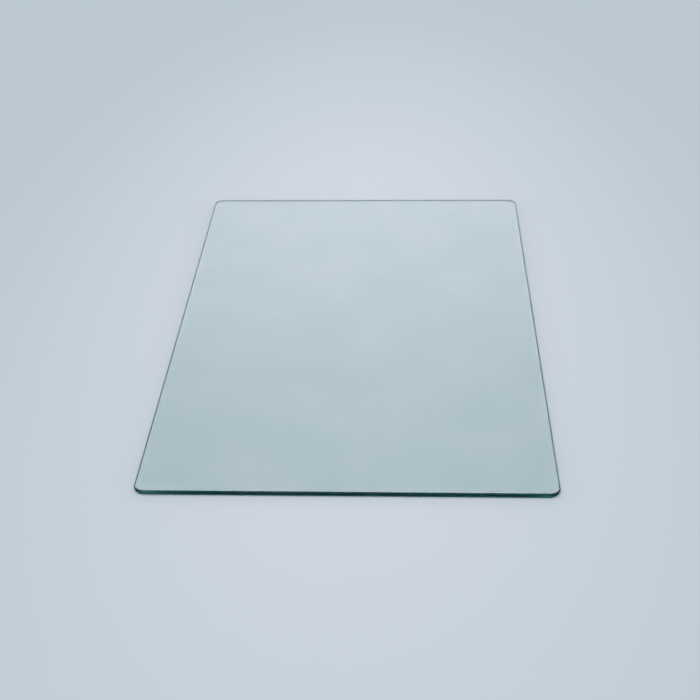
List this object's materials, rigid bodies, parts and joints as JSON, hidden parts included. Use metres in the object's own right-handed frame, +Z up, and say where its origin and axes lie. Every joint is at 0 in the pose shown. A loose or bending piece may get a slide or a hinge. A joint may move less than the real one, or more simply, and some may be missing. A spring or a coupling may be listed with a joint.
{
  "type": "refrigerator shelf",
  "caption": "Rectangular clear glass shelf pane with rounded corners and a pencil-ground edge all round, which rests on the side ledges of a refrigerator.",
  "frame": {"origin": "middle of the underside", "axes": "+X across the cabinet along the long side, +Y from the front edge to the back edge, +Z up through the glass"},
  "size_m": [0.475, 0.3, 0.004],
  "materials": {
    "glass": "clear toughened float glass with a slight green tint, polished faces and a smooth pencil-ground edge"
  },
  "bodies": {
    "root": {"glass_pane": "glass"}
  },
  "joints": []
}
